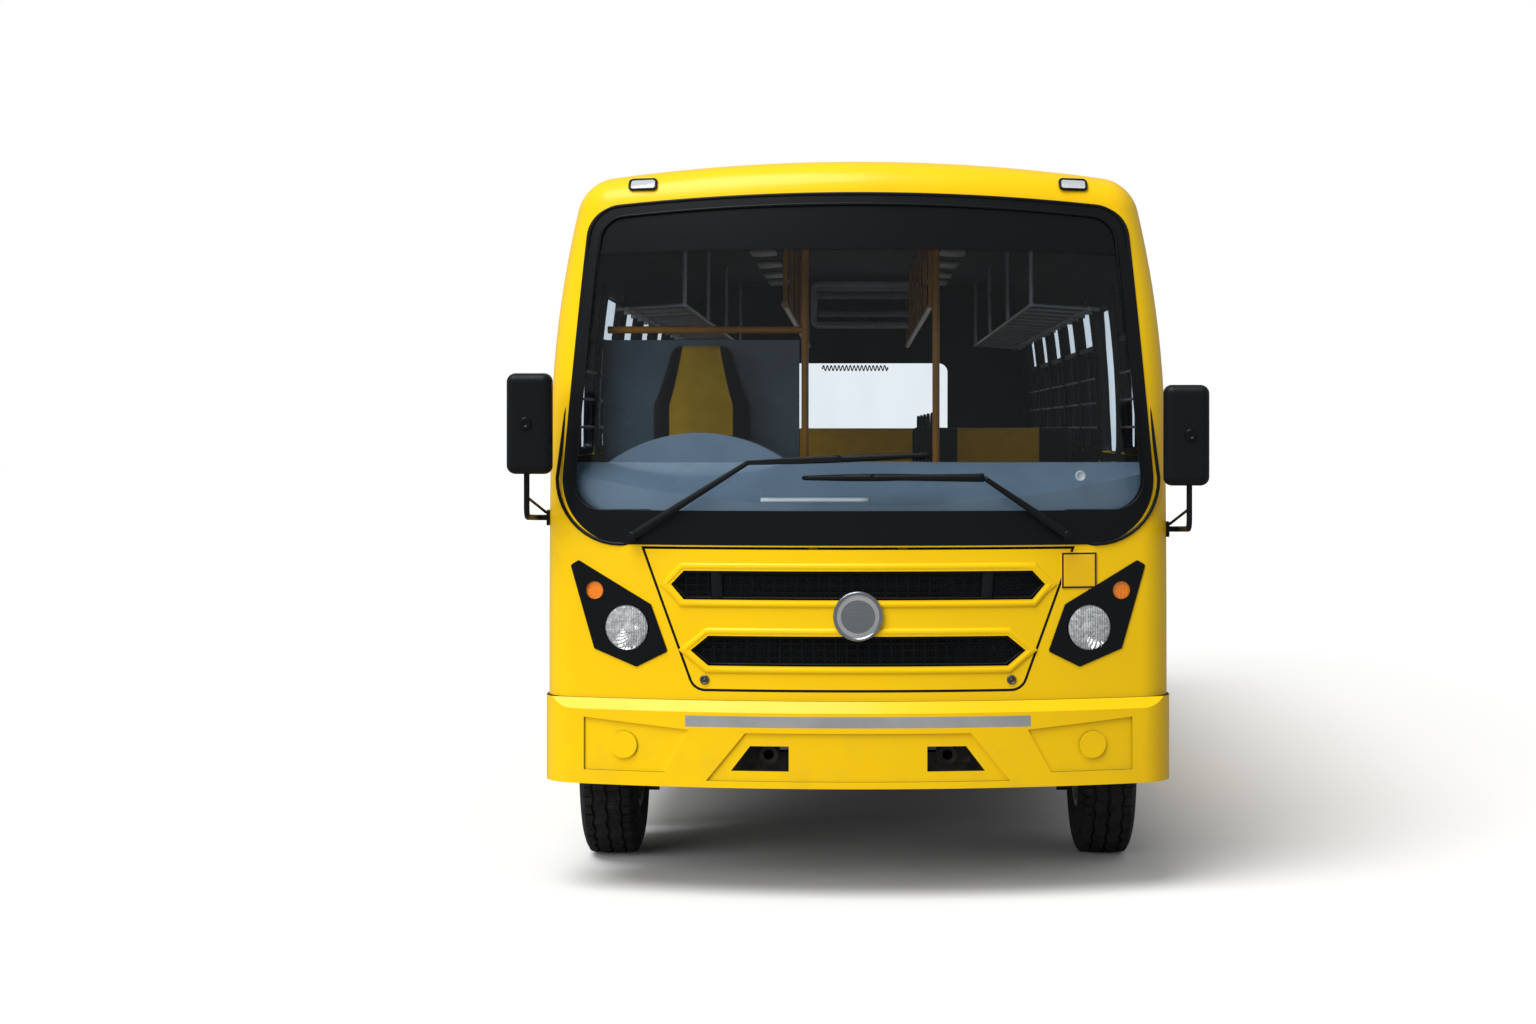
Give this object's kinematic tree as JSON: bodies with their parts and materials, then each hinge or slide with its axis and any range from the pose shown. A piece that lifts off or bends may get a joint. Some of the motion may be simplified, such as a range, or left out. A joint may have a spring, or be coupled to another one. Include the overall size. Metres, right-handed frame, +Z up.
{
  "type": "school bus",
  "caption": "Flat-fronted midi school bus with hollow cabin, steered front wheels, twin rear wheels, hinged doors, roof hatch and front flap.",
  "frame": {"origin": "on the ground under the middle of the overall length and width", "axes": "+X to the bus's left, -Y forwards, +Z up"},
  "size_m": [2.66, 7.8998, 2.8512],
  "materials": {
    "body_paint": "glossy school bus yellow",
    "silver_strip": "satin silver",
    "black_trim": "matt black",
    "gloss_black": "gloss black",
    "gasket": "black rubber",
    "glass": "lightly tinted",
    "lamp_glass": "clear lens",
    "lamp_colour": "clear coloured lens",
    "mirror": "mirror glass",
    "floor_mat": "ribbed grey mat",
    "chassis_paint": "satin black",
    "cast_parts": "rough",
    "spring_steel": "dark",
    "cabin_plastic": "grained grey",
    "seat_fabric": "yellow and black cloth",
    "rail_paint": "orange",
    "rack_metal": "satin",
    "tyre": "black rubber",
    "rim_paint": "silver paint"
  },
  "bodies": {
    "bus_body": {"windscreen": "glass", "headlamp_bezels": "gloss_black", "headlamps": "lamp_glass", "front_panel": "body_paint", "front_bumper": "body_paint", "bumper_strip": "silver_strip", "side_wall_left": "body_paint", "side_wall_right": "body_paint", "window_frames": "black_trim", "roof": "body_paint", "rear_wall": "body_paint", "window_gaskets": "gasket", "window_glass": "glass", "signal_lamps": "lamp_colour", "rear_bumper": "body_paint", "mirrors": "black_trim", "mirror_glass": "mirror", "wipers": "black_trim", "floor": "floor_mat", "chassis_frame": "chassis_paint", "engine_block": "cast_parts", "engine_cover": "cabin_plastic", "front_axle": "chassis_paint", "rear_axle": "chassis_paint", "propeller_shaft": "chassis_paint", "leaf_springs": "spring_steel", "chassis_tanks": "chassis_paint", "dashboard": "cabin_plastic", "cowl_beam": "chassis_paint", "driver_seat": "seat_fabric", "passenger_seats": "seat_fabric", "seat_frames": "chassis_paint", "driver_partition": "cabin_plastic", "grab_rails": "rail_paint", "luggage_racks": "rack_metal"},
    "front_flap": {"front_flap": "body_paint", "grille_mesh": "black_trim", "emblem_disc": "silver_strip"},
    "passenger_door": {"passenger_door": "body_paint", "passenger_door_glass": "glass"},
    "emergency_door": {"emergency_door": "body_paint", "emergency_door_glass": "glass"},
    "roof_hatch": {"roof_hatch": "body_paint"},
    "steering_wheel": {"steering_wheel": "black_trim"},
    "knuckle_left": {"knuckle_left": "cast_parts"},
    "knuckle_right": {"knuckle_right": "cast_parts"},
    "front_wheel_left": {"front_tyre_left": "tyre", "front_rim_left": "rim_paint"},
    "front_wheel_right": {"front_tyre_right": "tyre", "front_rim_right": "rim_paint"},
    "rear_wheel_left": {"rear_tyres_left": "tyre", "rear_rims_left": "rim_paint"},
    "rear_wheel_right": {"rear_tyres_right": "tyre", "rear_rims_right": "rim_paint"}
  },
  "joints": [
    {"name": "left_steering", "type": "hinge", "parent": "bus_body", "child": "knuckle_left", "pos_m": [0.87, -2.81, 0.43], "axis": [0, 0, 1], "range_deg": [-35, 35]},
    {"name": "right_steering", "type": "hinge", "parent": "bus_body", "child": "knuckle_right", "pos_m": [-0.87, -2.81, 0.43], "axis": [0, 0, 1], "range_deg": [-35, 35]},
    {"name": "steering_wheel_turn", "type": "hinge", "parent": "bus_body", "child": "steering_wheel", "pos_m": [-0.62, -3.05, 1.56], "axis": [0, 0.5299, 0.848], "range_deg": [-560, 560]},
    {"name": "front_left_spin", "type": "hinge", "parent": "knuckle_left", "child": "front_wheel_left", "pos_m": [1.015, -2.81, 0.43], "axis": [1, 0, 0], "continuous": true},
    {"name": "front_right_spin", "type": "hinge", "parent": "knuckle_right", "child": "front_wheel_right", "pos_m": [-1.015, -2.81, 0.43], "axis": [1, 0, 0], "continuous": true},
    {"name": "rear_left_spin", "type": "hinge", "parent": "bus_body", "child": "rear_wheel_left", "pos_m": [0.88, 1.29, 0.43], "axis": [1, 0, 0], "continuous": true},
    {"name": "rear_right_spin", "type": "hinge", "parent": "bus_body", "child": "rear_wheel_right", "pos_m": [-0.88, 1.29, 0.43], "axis": [1, 0, 0], "continuous": true},
    {"name": "passenger_door_hinge", "type": "hinge", "parent": "bus_body", "child": "passenger_door", "pos_m": [1.211, -2.15, 1.2], "axis": [0, 0, -1], "range_deg": [0, 90]},
    {"name": "emergency_door_hinge", "type": "hinge", "parent": "bus_body", "child": "emergency_door", "pos_m": [-1.211, 1.69, 1.3], "axis": [0, 0, 1], "range_deg": [0, 110]},
    {"name": "roof_hatch_hinge", "type": "hinge", "parent": "bus_body", "child": "roof_hatch", "pos_m": [0, -0.721, 2.84], "axis": [1, 0, 0], "range_deg": [0, 60]},
    {"name": "front_flap_hinge", "type": "hinge", "parent": "bus_body", "child": "front_flap", "pos_m": [0, -3.844, 1.4], "axis": [-1, 0, 0], "range_deg": [0, 70]}
  ],
  "couplings": [
    {"joint": "right_steering", "follows": "left_steering", "ratio": 1},
    {"joint": "steering_wheel_turn", "follows": "left_steering", "ratio": 16}
  ]
}
